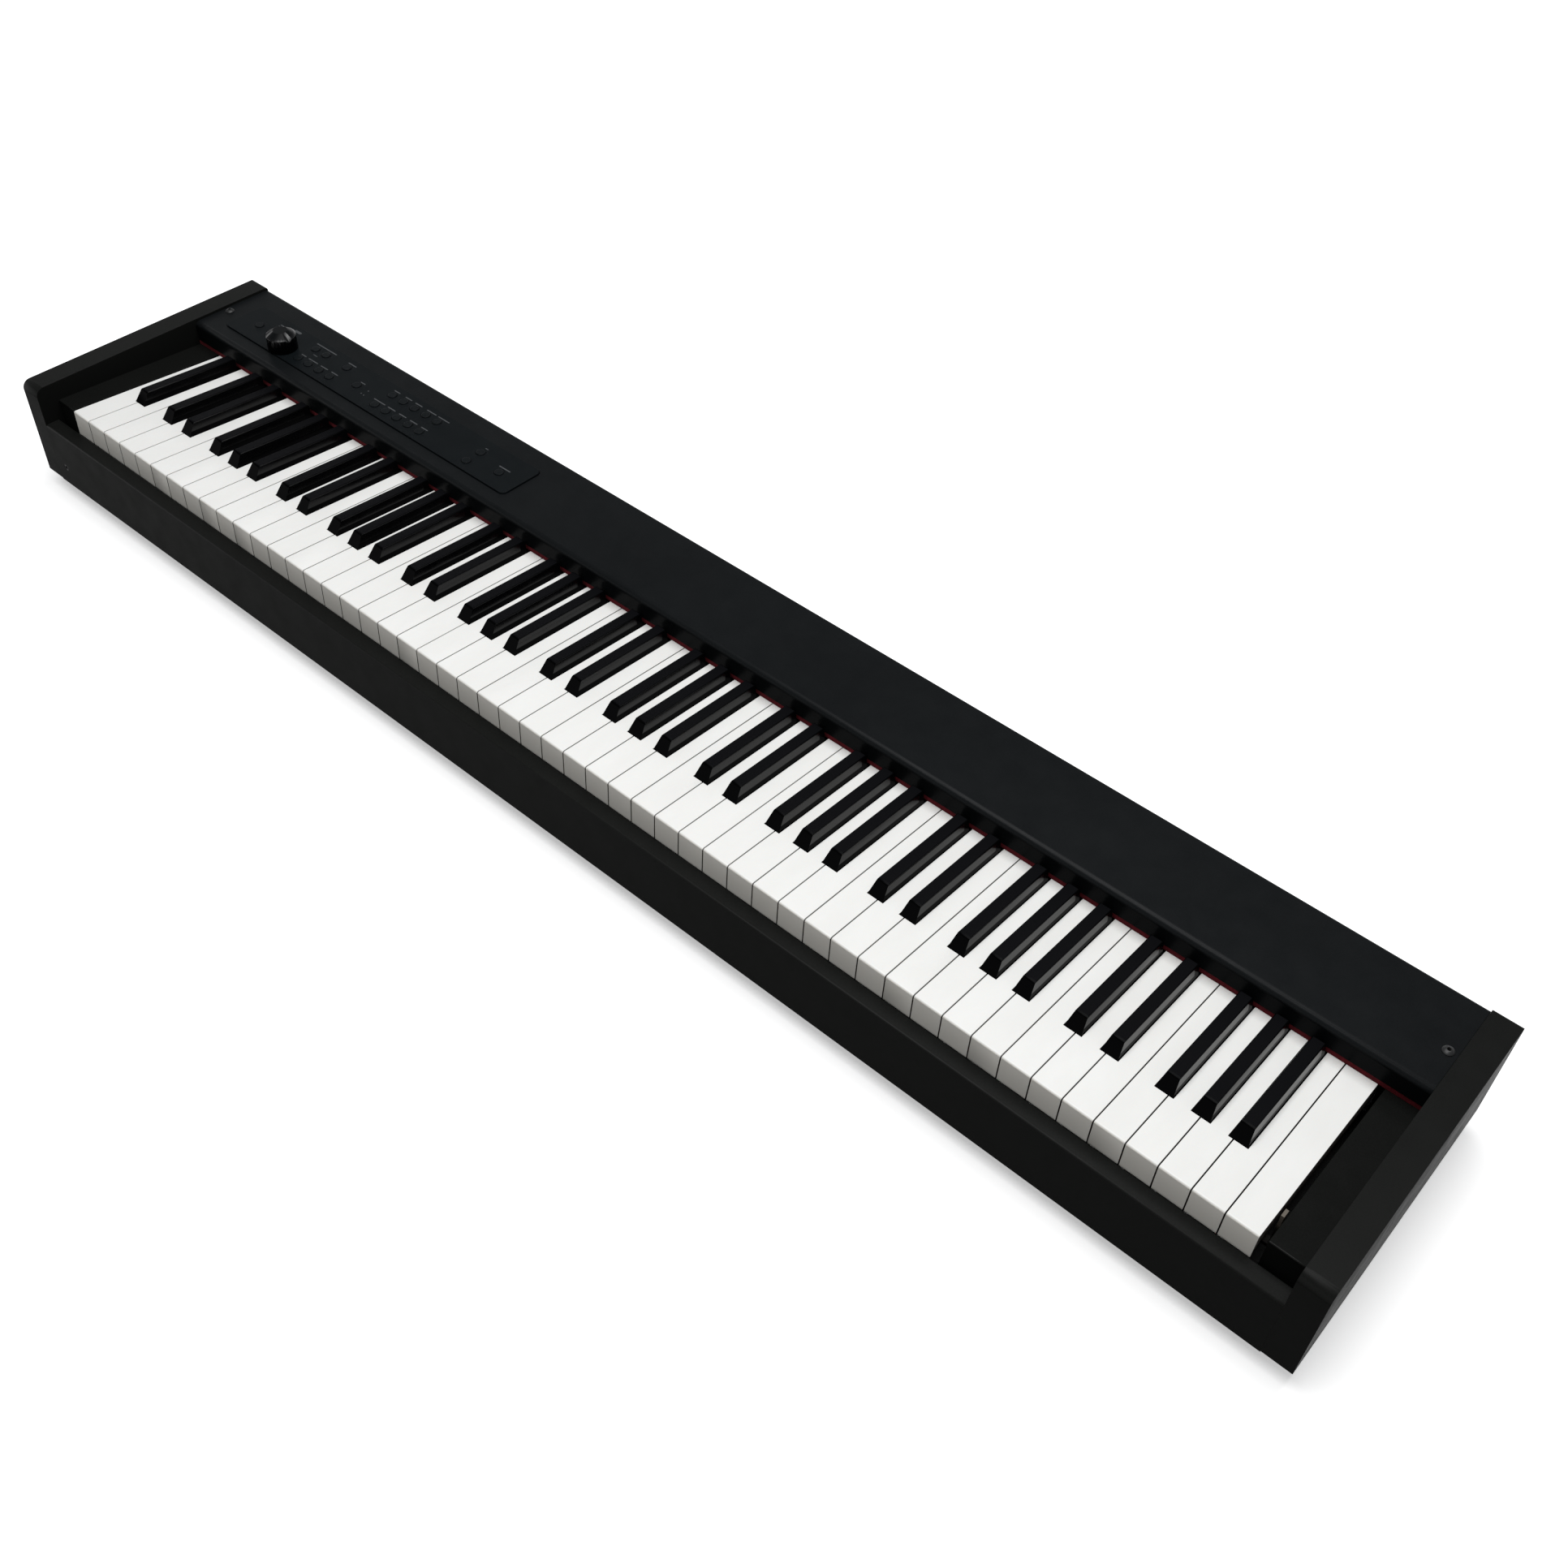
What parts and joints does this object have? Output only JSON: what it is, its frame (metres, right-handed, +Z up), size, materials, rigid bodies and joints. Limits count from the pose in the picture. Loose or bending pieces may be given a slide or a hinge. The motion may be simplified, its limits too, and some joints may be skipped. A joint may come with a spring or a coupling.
{
  "type": "stage piano",
  "caption": "Slim digital stage piano: hinged full-size keys in a flat black case with square cheeks, a folded top panel and a small control plate with buttons and a volume knob.",
  "frame": {"origin": "centre of the bounding box in plan, on the plane of the feet", "axes": "+X to the player's right (towards the high notes), +Y away from the player (towards the sockets), +Z up"},
  "size_m": [1.327, 0.254, 0.1307],
  "materials": {
    "case_board": "satin black lacquer over fibreboard, fine grain",
    "panel_steel": "satin black powder coat",
    "control_plastic": "matte dark grey-black",
    "felt": "dense dark red felt",
    "chassis_steel": "plain galvanised",
    "tan_plastic": "matte moulded",
    "circuit_board": "green solder mask",
    "rubber": "matte black",
    "socket_plastic": "matte black",
    "screw_black": "blackened steel",
    "key_ivory": "off-white with a fine satin texture",
    "key_ebony": "black, grained top and glossier flanks",
    "knob_plastic": "black, matte top and glossy skirt",
    "button_plastic": "matte black"
  },
  "bodies": {
    "case": {"base_board": "case_board", "left_cheek": "case_board", "right_cheek": "case_board", "front_rail": "case_board", "rear_board": "case_board", "top_panel": "panel_steel", "felt_strip": "felt", "key_blocks": "case_board", "control_plate": "control_plastic", "keybed_chassis": "chassis_steel", "key_guide_rail": "tan_plastic", "pivot_rail": "tan_plastic", "pivot_rod": "chassis_steel", "contact_board": "circuit_board", "contact_rubber": "rubber", "main_board": "circuit_board", "button_board": "circuit_board", "volume_pot": "chassis_steel", "jack_plate": "panel_steel", "jack_sockets": "socket_plastic", "midi_sockets": "socket_plastic", "power_inlet": "socket_plastic", "phones_jack": "socket_plastic", "feet": "rubber", "panel_screws": "screw_black"},
    "keys_a": {"keys_a": "key_ivory"},
    "keys_b": {"keys_b": "key_ivory"},
    "keys_c": {"keys_c": "key_ivory"},
    "keys_d": {"keys_d": "key_ivory"},
    "keys_e": {"keys_e": "key_ivory"},
    "keys_f": {"keys_f": "key_ivory"},
    "keys_g": {"keys_g": "key_ivory"},
    "keys_a_sharp": {"keys_a_sharp": "key_ebony"},
    "keys_c_sharp": {"keys_c_sharp": "key_ebony"},
    "keys_d_sharp": {"keys_d_sharp": "key_ebony"},
    "keys_f_sharp": {"keys_f_sharp": "key_ebony"},
    "keys_g_sharp": {"keys_g_sharp": "key_ebony"},
    "volume_knob": {"volume_knob": "knob_plastic"},
    "power_button": {"power_button": "button_plastic"},
    "upper_button_1": {"upper_button_1": "button_plastic"},
    "upper_button_2": {"upper_button_2": "button_plastic"},
    "upper_button_3": {"upper_button_3": "button_plastic"},
    "lower_button_1": {"lower_button_1": "button_plastic"},
    "lower_button_2": {"lower_button_2": "button_plastic"},
    "lower_button_3": {"lower_button_3": "button_plastic"},
    "lower_button_4": {"lower_button_4": "button_plastic"},
    "middle_button": {"middle_button": "button_plastic"},
    "upper_bank_1": {"upper_bank_1": "button_plastic"},
    "upper_bank_2": {"upper_bank_2": "button_plastic"},
    "upper_bank_3": {"upper_bank_3": "button_plastic"},
    "upper_bank_4": {"upper_bank_4": "button_plastic"},
    "upper_bank_5": {"upper_bank_5": "button_plastic"},
    "lower_bank_1": {"lower_bank_1": "button_plastic"},
    "lower_bank_2": {"lower_bank_2": "button_plastic"},
    "lower_bank_3": {"lower_bank_3": "button_plastic"},
    "lower_bank_4": {"lower_bank_4": "button_plastic"},
    "lower_bank_5": {"lower_bank_5": "button_plastic"},
    "value_up_button": {"value_up_button": "button_plastic"},
    "value_down_button": {"value_down_button": "button_plastic"},
    "end_button": {"end_button": "button_plastic"}
  },
  "joints": [
    {"name": "press_a", "type": "hinge", "parent": "case", "child": "keys_a", "pos_m": [0, 0.09283, 0.07176], "axis": [1, 0, 0], "range_deg": [0, 2.8], "stiffness_Nm_per_rad": 4, "springref_deg": -15.47},
    {"name": "press_b", "type": "hinge", "parent": "case", "child": "keys_b", "pos_m": [0, 0.09283, 0.07176], "axis": [1, 0, 0], "range_deg": [0, 2.8], "stiffness_Nm_per_rad": 4, "springref_deg": -15.47},
    {"name": "press_c", "type": "hinge", "parent": "case", "child": "keys_c", "pos_m": [0, 0.09283, 0.07176], "axis": [1, 0, 0], "range_deg": [0, 2.8], "stiffness_Nm_per_rad": 4, "springref_deg": -15.47},
    {"name": "press_d", "type": "hinge", "parent": "case", "child": "keys_d", "pos_m": [0, 0.09283, 0.07176], "axis": [1, 0, 0], "range_deg": [0, 2.8], "stiffness_Nm_per_rad": 4, "springref_deg": -15.47},
    {"name": "press_e", "type": "hinge", "parent": "case", "child": "keys_e", "pos_m": [0, 0.09283, 0.07176], "axis": [1, 0, 0], "range_deg": [0, 2.8], "stiffness_Nm_per_rad": 4, "springref_deg": -15.47},
    {"name": "press_f", "type": "hinge", "parent": "case", "child": "keys_f", "pos_m": [0, 0.09283, 0.07176], "axis": [1, 0, 0], "range_deg": [0, 2.8], "stiffness_Nm_per_rad": 4, "springref_deg": -15.47},
    {"name": "press_g", "type": "hinge", "parent": "case", "child": "keys_g", "pos_m": [0, 0.09283, 0.07176], "axis": [1, 0, 0], "range_deg": [0, 2.8], "stiffness_Nm_per_rad": 4, "springref_deg": -15.47},
    {"name": "press_a_sharp", "type": "hinge", "parent": "case", "child": "keys_a_sharp", "pos_m": [0, 0.09283, 0.07176], "axis": [1, 0, 0], "range_deg": [0, 2.8], "stiffness_Nm_per_rad": 4, "springref_deg": -15.47},
    {"name": "press_c_sharp", "type": "hinge", "parent": "case", "child": "keys_c_sharp", "pos_m": [0, 0.09283, 0.07176], "axis": [1, 0, 0], "range_deg": [0, 2.8], "stiffness_Nm_per_rad": 4, "springref_deg": -15.47},
    {"name": "press_d_sharp", "type": "hinge", "parent": "case", "child": "keys_d_sharp", "pos_m": [0, 0.09283, 0.07176], "axis": [1, 0, 0], "range_deg": [0, 2.8], "stiffness_Nm_per_rad": 4, "springref_deg": -15.47},
    {"name": "press_f_sharp", "type": "hinge", "parent": "case", "child": "keys_f_sharp", "pos_m": [0, 0.09283, 0.07176], "axis": [1, 0, 0], "range_deg": [0, 2.8], "stiffness_Nm_per_rad": 4, "springref_deg": -15.47},
    {"name": "press_g_sharp", "type": "hinge", "parent": "case", "child": "keys_g_sharp", "pos_m": [0, 0.09283, 0.07176], "axis": [1, 0, 0], "range_deg": [0, 2.8], "stiffness_Nm_per_rad": 4, "springref_deg": -15.47},
    {"name": "power_press", "type": "slide", "parent": "case", "child": "power_button", "axis": [0, 0, -1], "range_m": [0, 0.0008], "stiffness_N_per_m": 600, "springref_m": -0.0005},
    {"name": "upper_button_1_press", "type": "slide", "parent": "case", "child": "upper_button_1", "axis": [0, 0, -1], "range_m": [0, 0.0008], "stiffness_N_per_m": 600, "springref_m": -0.0005},
    {"name": "upper_button_2_press", "type": "slide", "parent": "case", "child": "upper_button_2", "axis": [0, 0, -1], "range_m": [0, 0.0008], "stiffness_N_per_m": 600, "springref_m": -0.0005},
    {"name": "upper_button_3_press", "type": "slide", "parent": "case", "child": "upper_button_3", "axis": [0, 0, -1], "range_m": [0, 0.0008], "stiffness_N_per_m": 600, "springref_m": -0.0005},
    {"name": "lower_button_1_press", "type": "slide", "parent": "case", "child": "lower_button_1", "axis": [0, 0, -1], "range_m": [0, 0.0008], "stiffness_N_per_m": 600, "springref_m": -0.0005},
    {"name": "lower_button_2_press", "type": "slide", "parent": "case", "child": "lower_button_2", "axis": [0, 0, -1], "range_m": [0, 0.0008], "stiffness_N_per_m": 600, "springref_m": -0.0005},
    {"name": "lower_button_3_press", "type": "slide", "parent": "case", "child": "lower_button_3", "axis": [0, 0, -1], "range_m": [0, 0.0008], "stiffness_N_per_m": 600, "springref_m": -0.0005},
    {"name": "lower_button_4_press", "type": "slide", "parent": "case", "child": "lower_button_4", "axis": [0, 0, -1], "range_m": [0, 0.0008], "stiffness_N_per_m": 600, "springref_m": -0.0005},
    {"name": "middle_press", "type": "slide", "parent": "case", "child": "middle_button", "axis": [0, 0, -1], "range_m": [0, 0.0008], "stiffness_N_per_m": 600, "springref_m": -0.0005},
    {"name": "upper_bank_1_press", "type": "slide", "parent": "case", "child": "upper_bank_1", "axis": [0, 0, -1], "range_m": [0, 0.0008], "stiffness_N_per_m": 600, "springref_m": -0.0005},
    {"name": "upper_bank_2_press", "type": "slide", "parent": "case", "child": "upper_bank_2", "axis": [0, 0, -1], "range_m": [0, 0.0008], "stiffness_N_per_m": 600, "springref_m": -0.0005},
    {"name": "upper_bank_3_press", "type": "slide", "parent": "case", "child": "upper_bank_3", "axis": [0, 0, -1], "range_m": [0, 0.0008], "stiffness_N_per_m": 600, "springref_m": -0.0005},
    {"name": "upper_bank_4_press", "type": "slide", "parent": "case", "child": "upper_bank_4", "axis": [0, 0, -1], "range_m": [0, 0.0008], "stiffness_N_per_m": 600, "springref_m": -0.0005},
    {"name": "upper_bank_5_press", "type": "slide", "parent": "case", "child": "upper_bank_5", "axis": [0, 0, -1], "range_m": [0, 0.0008], "stiffness_N_per_m": 600, "springref_m": -0.0005},
    {"name": "lower_bank_1_press", "type": "slide", "parent": "case", "child": "lower_bank_1", "axis": [0, 0, -1], "range_m": [0, 0.0008], "stiffness_N_per_m": 600, "springref_m": -0.0005},
    {"name": "lower_bank_2_press", "type": "slide", "parent": "case", "child": "lower_bank_2", "axis": [0, 0, -1], "range_m": [0, 0.0008], "stiffness_N_per_m": 600, "springref_m": -0.0005},
    {"name": "lower_bank_3_press", "type": "slide", "parent": "case", "child": "lower_bank_3", "axis": [0, 0, -1], "range_m": [0, 0.0008], "stiffness_N_per_m": 600, "springref_m": -0.0005},
    {"name": "lower_bank_4_press", "type": "slide", "parent": "case", "child": "lower_bank_4", "axis": [0, 0, -1], "range_m": [0, 0.0008], "stiffness_N_per_m": 600, "springref_m": -0.0005},
    {"name": "lower_bank_5_press", "type": "slide", "parent": "case", "child": "lower_bank_5", "axis": [0, 0, -1], "range_m": [0, 0.0008], "stiffness_N_per_m": 600, "springref_m": -0.0005},
    {"name": "value_up_press", "type": "slide", "parent": "case", "child": "value_up_button", "axis": [0, 0, -1], "range_m": [0, 0.0008], "stiffness_N_per_m": 600, "springref_m": -0.0005},
    {"name": "value_down_press", "type": "slide", "parent": "case", "child": "value_down_button", "axis": [0, 0, -1], "range_m": [0, 0.0008], "stiffness_N_per_m": 600, "springref_m": -0.0005},
    {"name": "end_press", "type": "slide", "parent": "case", "child": "end_button", "axis": [0, 0, -1], "range_m": [0, 0.0008], "stiffness_N_per_m": 600, "springref_m": -0.0005},
    {"name": "volume_turn", "type": "hinge", "parent": "case", "child": "volume_knob", "pos_m": [-0.5448, 0.0719, 0.1132], "axis": [0, 0, 1], "range_deg": [-140, 140]}
  ]
}
